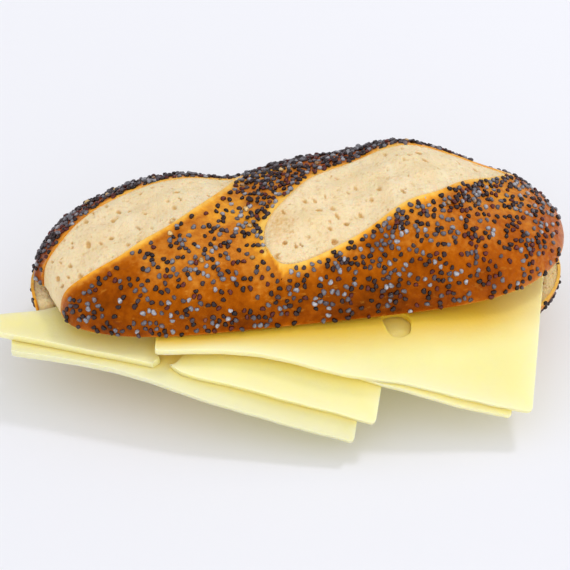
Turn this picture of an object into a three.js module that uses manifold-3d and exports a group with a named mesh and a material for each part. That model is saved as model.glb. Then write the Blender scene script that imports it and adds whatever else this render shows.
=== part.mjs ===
// A filled lye-bread baton: a poppy-seed roll cut in two, with four slices of
// cheese between the halves that hang out over the front edge.
// Millimetres, +Z up, X along the roll, -Y the front where the cheese hangs.
// Every shape is drawn with the roll's own middle at x = 0, y = 0, and at the end
// the whole is moved so that its outer box is centred over the origin.
import * as THREE from "three";
import { ConvexGeometry } from "three/addons/geometries/ConvexGeometry.js";
import { mergeVertices } from "three/addons/utils/BufferGeometryUtils.js";
import Module from "manifold-3d";

const wasm = await Module();
wasm.setup();

// The roll
const ROLL_LENGTH = 125;
const ROLL_WIDTH = 51.2;
const HALF = ROLL_LENGTH / 2;
const BASE_HEIGHT = 15; // from the table to the cut face
const BOWL_DEPTH = 16.4; // the underside before its flat spot is taken off
const LID_HEIGHT = 17.2; // of the plain dome, without the two humps
const LID_Z = 23.3; // height of the lid's cut face above the table
const LID_TILT = THREE.MathUtils.degToRad(1.2); // the right end lies higher
const STATIONS = 38; // rings along the roll
const LID_STEPS = 14; // steps across the dome
const BASE_STEPS = 10;

// The two bursts where the pale crumb shows
const LOW_DROP = 1.1; // how far the crumb lies below the crust at the front border
const HIGH_DROP = 0.3; // and at the back border
const BULGE = 0.6; // how much of that it makes good in the middle
const LIP_RISE = 0.45; // how far the crust curls up beside a burst
const LIP_REACH = 3;
const BURSTS = [
  {
    from: [-63, -14],
    to: [-12.5, 14],
    low: { depth: 9, peak: 0.56, power: 0.78, wave: [-0.7, 0.45, 0.08] },
    high: { depth: 11.8, peak: 0.46, power: 1.05, wave: [2.8, 0.12, 0.1] },
  },
  {
    from: [-9.1, -14.4],
    to: [51.2, 10],
    low: { depth: 8.1, peak: 0.25, power: 0.5, wave: [2.05, 0.61, 0.11] },
    high: { depth: 14.3, peak: 0.42, power: 0.69, wave: [-1.3, 0.17, 0.1] },
  },
];

// Poppy seeds
const SEED_LENGTH = 1.35;
const SEED_WIDTH = 1.05;
const SEED_PROUD = 0.62; // how far a seed stands out of the crust
const SEED_SINK = 0.3;
const LID_SEEDS = 330;
const BASE_SEEDS = 40;
const SEED_GAP = 3.1; // smallest distance between two seeds
const BARE_BORDER = 1.4; // crust without seeds beside a burst

// The cheese
const SLICE = 1.5; // thickness
const GAP = 0.3; // air between pieces that touch
const PITCH = SLICE + GAP;
const BEND_Y = -24.5; // the slices start to hang down here, over the rim
const BEND_RADIUS = 10;
const BEND_SLOPE = 0.7; // how steeply they hang beyond the bend
const SINK = 3.4; // the upper pair settles this much past the lower pair's end
const SLICE_COLUMNS = 13;
const HANGING_ROWS = 4; // from the front edge to the bend
const SLICE_ROWS = 6;

const CRUST = new THREE.MeshStandardMaterial({ color: 0xb0661c, roughness: 0.4, metalness: 0 });
const CHEESE = new THREE.MeshStandardMaterial({ color: 0xf8ec9c, roughness: 0.45, metalness: 0 });

// Plain shape functions
const bump = (x, centre, spread) => Math.exp(-(((x - centre) / spread) ** 2));
const clamp01 = (t) => Math.min(1, Math.max(0, t));
const smooth = (x, a, b) => {
  const t = clamp01((x - a) / (b - a));
  return t * t * (3 - 2 * t);
};
const taper = (x, p, q) => (1 - Math.min(1, Math.abs(x / HALF)) ** p) ** (1 / q);

// Half the roll's width in front of and behind its long axis. The back swells
// beside each burst and is drawn in between them, where the crust held.
const frontWidth = (x) => (ROLL_WIDTH / 2 + 0.3) * taper(x, 4.6, 2);
const backWidth = (x) =>
  (ROLL_WIDTH / 2 + 2.4 * bump(x, -37, 19) - 3.4 * bump(x, -14, 12.5) + 2.3 * bump(x, 21, 17)) *
  taper(x, 3, 2);
const humps = (x) =>
  0.5 * bump(x, -36, 15) -
  0.7 * bump(x, -41, 8) -
  2.2 * bump(x, -13.4, 7) -
  0.8 * bump(x, 15, 8) +
  4.4 * bump(x, 28, 12) -
  0.8 * bump(x, 47, 5) -
  3 * bump(x, 61, 6);
const domeHeight = (x) => (LID_HEIGHT + humps(x)) * taper(x, 2.6, 1.8);

// Where along the roll station s, from -1 to 1, lies: closer together at the ends.
const stationX = (s) => HALF * (0.6 * Math.sin((Math.PI / 2) * s) + 0.4 * s);

// A point's place in a burst: how far inside its border, in mm, negative outside,
// and the share of the way across, from 0 at the front border to 1 at the back.
function burstPlace(burst, x, y) {
  const [ax, ay] = burst.from;
  const dx = burst.to[0] - ax;
  const dy = burst.to[1] - ay;
  const length = Math.hypot(dx, dy);
  const along = ((x - ax) * dx + (y - ay) * dy) / length;
  const across = (-(x - ax) * dy + (y - ay) * dx) / length;
  const t = clamp01(along / length);
  const past = Math.max(0, -along, along - length);
  const low = burstSide(burst.low, t);
  const high = burstSide(burst.high, t);
  const inside = Math.min(high - across, across + low);
  return {
    inside: Math.min(inside, -past || inside),
    share: clamp01((across + low) / Math.max(low + high, 1e-6)),
  };
}

// How far one side of a burst stands off its long axis at t: a skewed arch with
// one wave in it, given by its height, middle and spread.
function burstSide({ depth, peak, power, wave }, t) {
  const skewed = t ** (Math.log(0.5) / Math.log(peak));
  const arch = depth * Math.sin(Math.PI * clamp01(skewed)) ** power;
  return arch + wave[0] * bump(t, wave[1], wave[2]);
}

const nearestBurst = (x, y) =>
  BURSTS.map((b) => burstPlace(b, x, y)).reduce((a, b) => (a.inside > b.inside ? a : b));
const insideBursts = (x, y) => nearestBurst(x, y).inside;

// A point on the lid's crust, phi from 0 at the front rim to pi at the back rim.
function crustPoint(s, phi) {
  const x = stationX(s);
  const c = Math.cos(phi);
  const width = c > 0 ? frontWidth(x) : backWidth(x);
  const y = -width * Math.sign(c) * Math.abs(c) ** 0.91;
  const { inside: beside, share } = nearestBurst(x, y);
  const low = 1 - 0.8 * smooth(share, 0.3, 0.7);
  const lip = LIP_RISE * low * Math.exp(-((beside / LIP_REACH) ** 2)) * Math.sin(phi) ** 0.5;
  return new THREE.Vector3(x, y, domeHeight(x) * Math.sin(phi) + lip);
}

// The crumb's surface lies below the crust, a little less in a burst's middle,
// and is uneven. Its rim reaches below the cut face.
function crumbPoint(s, phi) {
  const p = crustPoint(s, phi);
  const { inside, share } = nearestBurst(p.x, p.y);
  const middle = smooth(inside, 0, 7);
  const waves = 0.22 * Math.sin(p.x * 0.55 + p.y * 0.3) + 0.18 * Math.sin(p.y * 0.8 - p.x * 0.25);
  const border = LOW_DROP + (HIGH_DROP - LOW_DROP) * share;
  const drop = border + (waves - BULGE) * middle + LIP_RISE * Math.exp(-((inside / LIP_REACH) ** 2));
  const onRim = phi === 0 || phi === Math.PI;
  const shrink = 1 - drop / (ROLL_WIDTH / 2 + 4);
  return new THREE.Vector3(p.x * 0.992, p.y * shrink, onRim ? -3 : Math.max(p.z - drop, -2));
}

// A point on the base's crust, phi from 0 at the front rim, under, to pi at the back.
function basePoint(s, phi) {
  const x = stationX(s);
  const c = Math.cos(phi);
  const width = c > 0 ? frontWidth(x) : backWidth(x);
  const y = -width * Math.sign(c) * Math.abs(c) ** 0.92;
  const depth = BOWL_DEPTH * taper(x, 2.5, 1.5);
  return new THREE.Vector3(x, y, BASE_HEIGHT - depth * Math.sin(phi) ** 0.92);
}

// A closed half roll: rings of points from tip to tip, closed by a flat cut face
// between the rims. The side is 1 for a dome and -1 for a bowl.
function halfRoll(point, steps, side) {
  const rings = [];
  const positions = [];
  for (let i = 1; i < STATIONS; i++) {
    const s = -1 + (2 * i) / STATIONS;
    const ring = [];
    for (let j = 0; j <= steps; j++) {
      ring.push(positions.length / 3);
      positions.push(...point(s, (Math.PI * j) / steps).toArray());
    }
    rings.push(ring);
  }
  const tips = [-1, 1].map((s) => {
    positions.push(...point(s, 0).toArray());
    return positions.length / 3 - 1;
  });
  const faces = [];
  const face = (a, b, c) => faces.push(...(side > 0 ? [a, b, c] : [a, c, b]));
  rings.forEach((ring, i) => {
    const next = rings[i + 1];
    if (!next) return;
    for (let j = 0; j < steps; j++) {
      face(ring[j], next[j], next[j + 1]);
      face(ring[j], next[j + 1], ring[j + 1]);
    }
    face(ring[0], ring[steps], next[steps]);
    face(ring[0], next[steps], next[0]);
  });
  const first = rings[0];
  const last = rings[rings.length - 1];
  for (let j = 0; j < steps; j++) {
    face(tips[0], first[j], first[j + 1]);
    face(tips[1], last[j + 1], last[j]);
  }
  face(tips[0], first[steps], first[0]);
  face(tips[1], last[0], last[steps]);
  return new THREE.BufferGeometry()
    .setAttribute("position", new THREE.Float32BufferAttribute(positions, 3))
    .setIndex(faces);
}

// Between three.js geometry and closed solids that can be joined and cut
function solid(geometry) {
  const bare = geometry.clone();
  bare.deleteAttribute("normal");
  bare.deleteAttribute("uv");
  const merged = mergeVertices(bare, 1e-4);
  return new wasm.Manifold(
    new wasm.Mesh({
      numProp: 3,
      vertProperties: new Float32Array(merged.attributes.position.array),
      triVerts: new Uint32Array(merged.index.array),
    }),
  );
}

function node(name, manifold, material) {
  const mesh = manifold.getMesh();
  const geometry = new THREE.BufferGeometry()
    .setAttribute("position", new THREE.BufferAttribute(new Float32Array(mesh.vertProperties), 3))
    .setIndex(new THREE.BufferAttribute(new Uint32Array(mesh.triVerts), 1));
  geometry.computeVertexNormals();
  const made = new THREE.Mesh(geometry, material);
  made.name = name;
  return made;
}

// The upright prism that stands on a burst's outline
function burstPrism(burst) {
  const [ax, ay] = burst.from;
  const dx = burst.to[0] - ax;
  const dy = burst.to[1] - ay;
  const length = Math.hypot(dx, dy);
  const steps = 22;
  const place = (t, across) =>
    new THREE.Vector2(ax + dx * t - (dy / length) * across, ay + dy * t + (dx / length) * across);
  const lowSide = [];
  const highSide = [];
  for (let i = 0; i <= steps; i++) {
    const t = 0.5 - 0.5 * Math.cos((Math.PI * i) / steps);
    const low = burstSide(burst.low, t);
    const high = burstSide(burst.high, t);
    if (low + high < 0.2) continue;
    lowSide.push(place(t, -low));
    highSide.unshift(place(t, high));
  }
  const outline = [...lowSide, ...highSide];
  const prism = new THREE.ExtrudeGeometry(new THREE.Shape(outline), {
    depth: 60,
    bevelEnabled: false,
  });
  return solid(prism.translate(0, 0, -10));
}

// One poppy seed: a long grain with a ridge along its back, stood up along +Z
// with its foot inside the crust
function seedGeometry() {
  const foot = [0, 1, 2, 3, 4, 5].map((i) => {
    const turn = (Math.PI / 3) * i;
    return new THREE.Vector3(0.6 * Math.cos(turn), 0.6 * Math.sin(turn), -SEED_SINK);
  });
  const ridge = [-0.22, 0.22].map((x) => new THREE.Vector3(x, 0, SEED_PROUD));
  return new ConvexGeometry([...foot, ...ridge]).scale(SEED_LENGTH, SEED_WIDTH, 1);
}

// The van der Corput sequence, which spreads numbers from 0 to 1 evenly
function spread(index, base) {
  let value = 0;
  for (let i = index, share = 1 / base; i > 0; i = Math.floor(i / base), share /= base)
    value += share * (i % base);
  return value;
}

// The same surface as its facets have it, between the rings' corners
function onFacets(point, steps) {
  return (s, phi) => {
    const u = ((s + 1) * STATIONS) / 2;
    const v = (phi * steps) / Math.PI;
    const corner = (i, j) =>
      point((2 * (Math.floor(u) + i)) / STATIONS - 1, (Math.PI * (Math.floor(v) + j)) / steps);
    const front = corner(0, 0).lerp(corner(1, 0), u - Math.floor(u));
    const back = corner(0, 1).lerp(corner(1, 1), u - Math.floor(u));
    return front.lerp(back, v - Math.floor(v));
  };
}

// Seeds spread evenly over a surface, where allowed(point) says so. The middle
// is the height of a point well inside the bread, away from which seeds stand.
function seedsOn(point, count, middle, allowed) {
  const seed = seedGeometry();
  const places = [];
  const seeds = [];
  const step = 0.01;
  for (let i = 1; seeds.length < count && i < 40000; i++) {
    const s = (1 - 2.4 / STATIONS) * (2 * spread(i, 2) - 1);
    const phi = Math.PI * (0.02 + 0.96 * spread(i, 3));
    const at = point(s, phi);
    if (!allowed(at)) continue;
    const alongRoll = point(s + step, phi).sub(point(s - step, phi));
    const acrossRoll = point(s, phi + step).sub(point(s, phi - step));
    const out = new THREE.Vector3().crossVectors(alongRoll, acrossRoll);
    const share = out.length() / (4 * step * step) / (HALF * ROLL_WIDTH * 0.6);
    if (spread(i, 5) > share || places.some((p) => p.distanceTo(at) < SEED_GAP)) continue;
    places.push(at);
    out.normalize();
    if (out.dot(new THREE.Vector3(0.15 * at.x, at.y, at.z - middle)) < 0) out.negate();
    const turn = new THREE.Quaternion()
      .setFromUnitVectors(new THREE.Vector3(0, 0, 1), out)
      .multiply(new THREE.Quaternion().setFromAxisAngle(new THREE.Vector3(0, 0, 1), 7 * i));
    const matrix = new THREE.Matrix4().compose(at, turn, new THREE.Vector3(1, 1, 1));
    seeds.push(solid(seed.clone().applyMatrix4(matrix)));
  }
  return seeds;
}

function makeLid() {
  const crust = solid(halfRoll(crustPoint, LID_STEPS, 1));
  const crumb = solid(halfRoll(crumbPoint, LID_STEPS, 1));
  const opened = BURSTS.reduce(
    (lid, burst) => lid.subtract(burstPrism(burst).subtract(crumb)),
    crust,
  );
  const seeds = seedsOn(
    onFacets(crustPoint, LID_STEPS),
    LID_SEEDS,
    -4,
    (p) => p.z > 1.2 && insideBursts(p.x, p.y) < -BARE_BORDER,
  );
  const lid = node("roll_lid", wasm.Manifold.union([opened, ...seeds]), CRUST);
  lid.position.set(0, 0, LID_Z);
  lid.rotation.set(0, -LID_TILT, 0);
  return lid;
}

function makeBase() {
  const bowl = solid(halfRoll(basePoint, BASE_STEPS, -1));
  const below = new THREE.BoxGeometry(2 * ROLL_LENGTH, 2 * ROLL_WIDTH, 20).translate(0, 0, -10);
  const standing = bowl.subtract(solid(below));
  const seeds = seedsOn(
    onFacets(basePoint, BASE_STEPS),
    BASE_SEEDS,
    BASE_HEIGHT,
    (p) => p.z > 7 && p.z < BASE_HEIGHT - 1.3,
  );
  return node("roll_base", wasm.Manifold.union([standing, ...seeds]), CRUST);
}

// How far a slice has come down at y: a soft bend, then a straight slope
const pastBend = (y) => Math.max(0, BEND_Y - y);
const hang = (y) => BEND_SLOPE * (Math.hypot(pastBend(y), BEND_RADIUS) - BEND_RADIUS);

// How much further apart the slices lie, straight up, where they slope
const steepness = (y) =>
  Math.hypot(1, (BEND_SLOPE * pastBend(y)) / Math.hypot(pastBend(y), BEND_RADIUS));

// The upper pair sinks to the right of the lower pair's slanting end.
const LOWER_END = { x: 12, lean: 0.43, y: -45, run: 32 };
const settle = (x, y) => {
  const end = LOWER_END.x + (y - LOWER_END.y) * LOWER_END.lean;
  return SINK * smooth(x, end, end + LOWER_END.run);
};

// The slices from the bottom up. The front and back edges are curves through
// these corner and edge points, from the left end to the right end.
const SLICES = [
  {
    name: "cheese_slice_1",
    layer: 0,
    front: [[-68, -18.4], [-48.6, -26], [-27, -36], [5.5, -47.4]],
    back: [[-67.6, -12.8], [-54, -4], [-41, 17], [-14, 19.5], [27, 16]],
  },
  {
    name: "cheese_slice_2",
    layer: 1,
    front: [[-71, -13.6], [-48.3, -23.6], [-30, -31], [10.6, -45.6]],
    back: [[-70.6, -7.9], [-55, -5.6], [-42, 19], [-12, 20.5], [33, 19]],
    hole: { at: [-32.6, -25.4], radius: 3.2 },
  },
  {
    name: "cheese_slice_3",
    layer: 2,
    settles: true,
    front: [[-30, -23], [-8, -30], [16, -40.4], [41.5, -46]],
    back: [[-22, 18], [0, 20.5], [28, 22.5], [51, 14]],
  },
  {
    name: "cheese_slice_4",
    layer: 3,
    settles: true,
    front: [[-36.4, -28.4], [-16.5, -31], [4, -37.6], [45.9, -46.7]],
    back: [[-27, 20], [-6, 21], [30, 23.5], [48, 17.5], [60, 2.5]],
    hole: { at: [18.6, -26.9], radius: 3.3 },
  },
];

const sliceLevel = (slice, x, y) =>
  BASE_HEIGHT +
  GAP +
  SLICE / 2 -
  hang(y) +
  slice.layer * PITCH * steepness(y) -
  (slice.settles ? settle(x, y) : 0);

// A curve through plan points, as a function from 0 to 1
function edgeCurve(points) {
  return new THREE.CatmullRomCurve3(
    points.map(([x, y]) => new THREE.Vector3(x, y, 0)),
    false,
    "centripetal",
  );
}

// Where row j lies between the front and back edge: the rows crowd at the bend.
function rowShare(j, bendShare) {
  const bend = Math.min(0.9, Math.max(0.3, bendShare));
  if (j < HANGING_ROWS) return bend * (1 - (1 - j / HANGING_ROWS) ** 1.5);
  return bend + ((1 - bend) * (j - HANGING_ROWS)) / (SLICE_ROWS - HANGING_ROWS);
}

function makeSlice(slice) {
  const front = edgeCurve(slice.front);
  const back = edgeCurve(slice.back);
  const step = 0.05;
  const positions = [];
  for (const side of [1, -1])
    for (let i = 0; i <= SLICE_COLUMNS; i++)
      for (let j = 0; j <= SLICE_ROWS; j++) {
        const p = front.getPointAt(i / SLICE_COLUMNS);
        const far = back.getPointAt(i / SLICE_COLUMNS);
        p.lerp(far, rowShare(j, (BEND_Y - p.y) / (far.y - p.y)));
        const z = sliceLevel(slice, p.x, p.y);
        const slopeX = (sliceLevel(slice, p.x + step, p.y) - z) / step;
        const slopeY = (sliceLevel(slice, p.x, p.y + step) - z) / step;
        const out = new THREE.Vector3(-slopeX, -slopeY, 1).normalize();
        p.setZ(z).addScaledVector(out, (side * SLICE) / 2);
        positions.push(...p.toArray());
      }
  const rows = SLICE_ROWS + 1;
  const half = (SLICE_COLUMNS + 1) * rows;
  const top = (i, j) => i * rows + j;
  const under = (i, j) => half + top(i, j);
  const faces = [];
  const quad = (a, b, c, d) => faces.push(a, b, c, a, c, d);
  for (let i = 0; i < SLICE_COLUMNS; i++)
    for (let j = 0; j < SLICE_ROWS; j++) {
      quad(top(i, j), top(i + 1, j), top(i + 1, j + 1), top(i, j + 1));
      quad(under(i, j), under(i, j + 1), under(i + 1, j + 1), under(i + 1, j));
    }
  for (let i = 0; i < SLICE_COLUMNS; i++) {
    quad(under(i, 0), under(i + 1, 0), top(i + 1, 0), top(i, 0));
    quad(top(i, SLICE_ROWS), top(i + 1, SLICE_ROWS), under(i + 1, SLICE_ROWS), under(i, SLICE_ROWS));
  }
  for (let j = 0; j < SLICE_ROWS; j++) {
    quad(top(0, j), top(0, j + 1), under(0, j + 1), under(0, j));
    quad(
      under(SLICE_COLUMNS, j),
      under(SLICE_COLUMNS, j + 1),
      top(SLICE_COLUMNS, j + 1),
      top(SLICE_COLUMNS, j),
    );
  }
  const sheet = new THREE.BufferGeometry()
    .setAttribute("position", new THREE.Float32BufferAttribute(positions, 3))
    .setIndex(faces);
  return node(slice.name, withHole(solid(sheet), slice), CHEESE);
}

// An eye of the cheese that the slice was cut through
function withHole(sheet, slice) {
  if (!slice.hole) return sheet;
  const { at, radius } = slice.hole;
  const drill = new THREE.CylinderGeometry(radius, radius, 30, 20).rotateX(Math.PI / 2);
  return sheet.subtract(solid(drill.translate(at[0], at[1], sliceLevel(slice, ...at))));
}

const sandwich = new THREE.Group();
sandwich.add(makeBase(), makeLid(), ...SLICES.map(makeSlice));
const centre = new THREE.Box3().setFromObject(sandwich, true).getCenter(new THREE.Vector3());
sandwich.position.set(-centre.x, -centre.y, 0);

export default sandwich;
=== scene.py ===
# %% [markdown]
# # A poppy-seed roll filled with cheese
#
# The real thing is a small bread roll that was dipped in lye and strewn with poppy
# seeds, slashed twice, baked until the slashes burst open, then cut through level and
# filled with sliced cheese. This lesson builds it in Blender on top of a plain solid
# model of the same roll, which fixes every size and place.

# %% Load the solid model
import itertools
import math

import bmesh
import bpy
import numpy as np
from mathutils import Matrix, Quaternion, Vector, noise


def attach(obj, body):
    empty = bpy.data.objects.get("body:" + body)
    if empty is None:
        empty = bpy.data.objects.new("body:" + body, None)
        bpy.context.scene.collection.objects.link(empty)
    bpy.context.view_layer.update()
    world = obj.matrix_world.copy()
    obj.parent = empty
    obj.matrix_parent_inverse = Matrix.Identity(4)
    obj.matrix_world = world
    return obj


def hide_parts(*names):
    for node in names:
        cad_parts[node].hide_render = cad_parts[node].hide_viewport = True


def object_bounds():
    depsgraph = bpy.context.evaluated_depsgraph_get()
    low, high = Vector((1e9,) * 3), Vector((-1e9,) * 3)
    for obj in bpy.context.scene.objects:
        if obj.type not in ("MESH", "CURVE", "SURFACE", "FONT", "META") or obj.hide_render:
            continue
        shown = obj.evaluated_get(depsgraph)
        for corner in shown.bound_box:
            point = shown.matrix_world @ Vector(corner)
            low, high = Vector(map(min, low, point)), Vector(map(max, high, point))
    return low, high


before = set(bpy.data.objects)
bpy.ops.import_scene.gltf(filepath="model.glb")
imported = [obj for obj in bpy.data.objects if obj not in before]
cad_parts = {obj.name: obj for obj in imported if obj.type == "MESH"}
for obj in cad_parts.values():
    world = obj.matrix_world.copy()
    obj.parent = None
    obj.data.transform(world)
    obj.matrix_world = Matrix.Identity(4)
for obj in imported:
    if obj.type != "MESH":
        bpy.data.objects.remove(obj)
cad_box = [list(corner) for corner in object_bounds()]
print("solid model, low and high corner in metres:", cad_box)

# %% [markdown]
# ## The camera
#
# The roll was photographed from the front and above, from far enough away that its
# lines hardly converge. A long lens at about half a metre gives that look. The camera
# comes first, because every later choice is judged through it.

# %% Place the camera
MM = 0.001
AIM = Vector((0.95, 9.04, 14)) * MM
AZIMUTH = math.radians(-8)
ELEVATION = math.radians(40)
DISTANCE = 0.52
PICTURE_WIDTH = 0.134  # metres across the picture at the roll

level, rise = math.cos(ELEVATION), math.sin(ELEVATION)
toward_camera = Vector((math.sin(AZIMUTH) * level, -math.cos(AZIMUTH) * level, rise))
bpy.ops.object.camera_add(location=AIM + toward_camera * DISTANCE)
camera = bpy.context.object
camera.rotation_euler = toward_camera.to_track_quat("Z", "Y").to_euler()
camera.data.lens = camera.data.sensor_width * DISTANCE / PICTURE_WIDTH
bpy.context.scene.camera = camera
print("camera at", tuple(round(v, 3) for v in camera.location), "lens", round(camera.data.lens))

# %% [markdown]
# ## Floor and light
#
# The roll lies on a pale, faintly blue table. The light is broad and soft, and the
# shadow is pale and lies under the hanging cheese, darker to the left. So most of the
# light comes from a bright world, as in a white room that throws light back from every
# side. The room is brightest in front of the table, which fills the shadow under the
# cheese. The table gives off a faint light of its own, which thins the shadow more. One
# lamp above and to the right deepens it again and gives the seeds their glints.

# %% Make the floor and the lights
table = bpy.data.materials.new("pale table")
table.use_nodes = True
for name, value in (
    ("Base Color", (0.66, 0.66, 0.83, 1)),
    ("Roughness", 0.9),
    ("Emission Color", (0.2, 0.2, 0.06, 1)),
    ("Emission Strength", 1.0),
):
    table.node_tree.nodes["Principled BSDF"].inputs[name].default_value = value

bpy.ops.object.select_all(action="DESELECT")
bpy.ops.mesh.primitive_plane_add(size=8, location=(0, 0, -0.0002))
floor = bpy.context.object
floor.name = "table"
floor.data.materials.append(table)

LAMP_PLACE = Vector((0.36, 0.16, 0.82))
bpy.ops.object.light_add(type="AREA", location=LAMP_PLACE)
lamp = bpy.context.object
lamp.name = "window"
lamp.data.size = 0.12
lamp.data.energy = 1.6
lamp.data.color = (1.0, 0.985, 0.96)
lamp.rotation_euler = LAMP_PLACE.to_track_quat("Z", "Y").to_euler()

world = bpy.data.worlds.new("white room")
world.use_nodes = True
room, links = world.node_tree.nodes, world.node_tree.links
room["Background"].inputs["Color"].default_value = (0.95, 0.965, 1.0, 1)
direction = room.new("ShaderNodeTexCoord")
parts = room.new("ShaderNodeSeparateXYZ")
fall = room.new("ShaderNodeMapRange")
for name, value in (("From Min", -1), ("From Max", 1), ("To Min", 1.52), ("To Max", 0.36)):
    fall.inputs[name].default_value = value
links.new(direction.outputs["Generated"], parts.inputs["Vector"])
links.new(parts.outputs["Y"], fall.inputs["Value"])
links.new(fall.outputs["Result"], room["Background"].inputs["Strength"])
bpy.context.scene.world = world
bpy.context.scene.view_settings.view_transform = "Standard"

# %% [markdown]
# ## Making materials by nodes
#
# Bread is never one flat colour, so every finish here is mixed from noise. Mottling is
# used by all of them, so it is one node group with named inputs: a place, a scale, how
# fine it goes, and a low and a high value that the noise is spread between. The group
# only puts out a value. The shader itself stays in each material.

# %% Build the mottle group


def build_mottle():
    group = bpy.data.node_groups.new("mottle", "ShaderNodeTree")
    socket = group.interface.new_socket
    socket("Vector", in_out="INPUT", socket_type="NodeSocketVector")
    for name, value in (("Scale", 100.0), ("Detail", 3.0), ("Low", 0.0), ("High", 1.0)):
        socket(name, in_out="INPUT", socket_type="NodeSocketFloat").default_value = value
    socket("Value", in_out="OUTPUT", socket_type="NodeSocketFloat")
    nodes, links = group.nodes, group.links
    source = nodes.new("NodeGroupInput")
    speckle = nodes.new("ShaderNodeTexNoise")
    spread = nodes.new("ShaderNodeMapRange")
    target = nodes.new("NodeGroupOutput")
    for name in ("Vector", "Scale", "Detail"):
        links.new(source.outputs[name], speckle.inputs[name])
    spread.inputs["From Min"].default_value = 0.3
    spread.inputs["From Max"].default_value = 0.7
    links.new(speckle.outputs["Fac"], spread.inputs["Value"])
    links.new(source.outputs["Low"], spread.inputs["To Min"])
    links.new(source.outputs["High"], spread.inputs["To Max"])
    links.new(spread.outputs["Result"], target.inputs["Value"])
    return group


mottle_group = build_mottle()
print("node group", mottle_group.name, [s.name for s in mottle_group.interface.items_tree])

# %% [markdown]
# A small helper class keeps the node code short. It starts a material, adds nodes with
# their values set by name, and joins sockets.

# %% Write the finish helper


class Finish:
    """A material that is built node by node."""

    def __init__(self, name, roughness=0.5, **constants):
        self.material = bpy.data.materials.new(name)
        self.material.use_nodes = True
        self.tree = self.material.node_tree
        self.shader = self.tree.nodes["Principled BSDF"]
        self.shader.inputs["Roughness"].default_value = roughness
        for socket, value in constants.items():
            self.shader.inputs[socket.replace("_", " ")].default_value = value

    def add(self, kind, values=(), **settings):
        node = self.tree.nodes.new(kind)
        for setting, value in settings.items():
            setattr(node, setting, value)
        for socket, value in dict(values).items():
            if isinstance(value, bpy.types.NodeSocket):
                self.tree.links.new(value, node.inputs[socket])
            else:
                node.inputs[socket].default_value = value
        return node

    def place(self, stretch=(1, 1, 1), turn=(0, 0, 0)):
        here = self.add("ShaderNodeTexCoord").outputs["Object"]
        if stretch == (1, 1, 1) and turn == (0, 0, 0):
            return here
        moved = self.add("ShaderNodeMapping", {"Vector": here, "Scale": stretch, "Rotation": turn})
        return moved.outputs["Vector"]

    def mottle(self, place, scale, detail=3.0, low=0.0, high=1.0):
        values = {"Vector": place, "Scale": scale, "Detail": detail, "Low": low, "High": high}
        return self.add("ShaderNodeGroup", values, node_tree=mottle_group).outputs["Value"]

    def read(self, attribute):
        return self.add("ShaderNodeAttribute", attribute_name=attribute).outputs["Fac"]

    def sum(self, operation, a, b):
        return self.add("ShaderNodeMath", {0: a, 1: b}, operation=operation).outputs["Value"]

    def rescale(self, value, low, high, to_low=0.0, to_high=1.0):
        names = ("Value", "From Min", "From Max", "To Min", "To Max")
        values = zip(names, (value, low, high, to_low, to_high))
        return self.add("ShaderNodeMapRange", values).outputs["Result"]

    def ramp(self, value, stops):
        """Colours, as a screen shows them, at places from 0 to 1."""
        node = self.add("ShaderNodeValToRGB", {"Fac": value})
        elements = node.color_ramp.elements
        while len(elements) < len(stops):
            elements.new(0.5)
        for element, (position, colour) in zip(elements, stops):
            element.position = position
            element.color = (*from_screen(*colour), 1)
        return node.outputs["Color"]

    def mix(self, share, a, b, blend="MIX"):
        a, b = ((*value, 1) if isinstance(value, tuple) else value for value in (a, b))
        values = {0: share, 6: a, 7: b}
        return self.add("ShaderNodeMix", values, data_type="RGBA", blend_type=blend).outputs[2]

    def bumps(self, height, distance, strength=1.0, normal=None):
        values = {"Height": height, "Distance": distance, "Strength": strength}
        if normal is not None:
            values["Normal"] = normal
        return self.add("ShaderNodeBump", values).outputs["Normal"]

    def finish(self, **sockets):
        for socket, value in sockets.items():
            self.tree.links.new(value, self.shader.inputs[socket.replace("_", " ")])
        return self.material


def from_screen(red, green, blue):
    """A colour as a screen shows it, 0 to 255, as the linear light that a shader wants."""
    return tuple(
        v / 12.92 if v <= 0.04045 else ((v + 0.055) / 1.055) ** 2.4
        for v in (red / 255, green / 255, blue / 255)
    )


print("a warm crust brown in linear light:", from_screen(150, 88, 20))

# %% [markdown]
# ## The crust's finish
#
# Lye turns the skin of the dough chestnut brown and glossy. It is golden where the
# dough stretched beside the bursts and browner low on its flanks. Two values are stored
# on the mesh for this: one from 0 for golden to 1 for dark, which also carries painted
# shade low on the flanks and a painted sheen on top of the neck and at the right end,
# and `beside`, the distance in millimetres from the nearest burst. Noise breaks both up.

# %% Make the crust


def make_crust():
    crust = Finish("lye crust", Specular_IOR_Level=0.5, Specular_Tint=(1.0, 0.45, 0.04, 1))
    here = crust.place()
    cloudy = crust.mottle(here, 110, 4, -0.15, 0.15)
    fine = crust.mottle(here, 800, 5, -0.08, 0.08)
    # this value holds browning together with painted shade and painted sheen
    value = crust.sum("ADD", crust.read("browning_shade_sheen"), crust.sum("ADD", cloudy, fine))
    colour = crust.ramp(
        value,
        (
            (0.0, (246, 196, 92)),
            (0.2, (236, 160, 44)),
            (0.4, (198, 118, 36)),
            (0.56, (168, 82, 4)),
            (0.78, (132, 54, 0)),
            (1.0, (92, 28, 0)),
        ),
    )
    streaks = crust.mottle(crust.place((0.5, 1, 1), (0, 0, -0.45)), 900, 4)
    pale = crust.sum("MULTIPLY", crust.rescale(streaks, 0.78, 1.0), 0.2)
    colour = crust.mix(pale, colour, from_screen(228, 160, 60))
    colour = crust.mix(crust.read("ruddy"), colour, from_screen(178, 66, 4))
    wrinkles = crust.mottle(here, 420, 6)
    rough = crust.rescale(fine, -0.08, 0.08, 0.26, 0.4)
    normal = crust.bumps(wrinkles, 0.0004, 0.55)
    normal = crust.bumps(streaks, 0.0001, 0.5, normal)
    return crust.finish(Base_Color=colour, Roughness=rough, Normal=normal)


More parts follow.
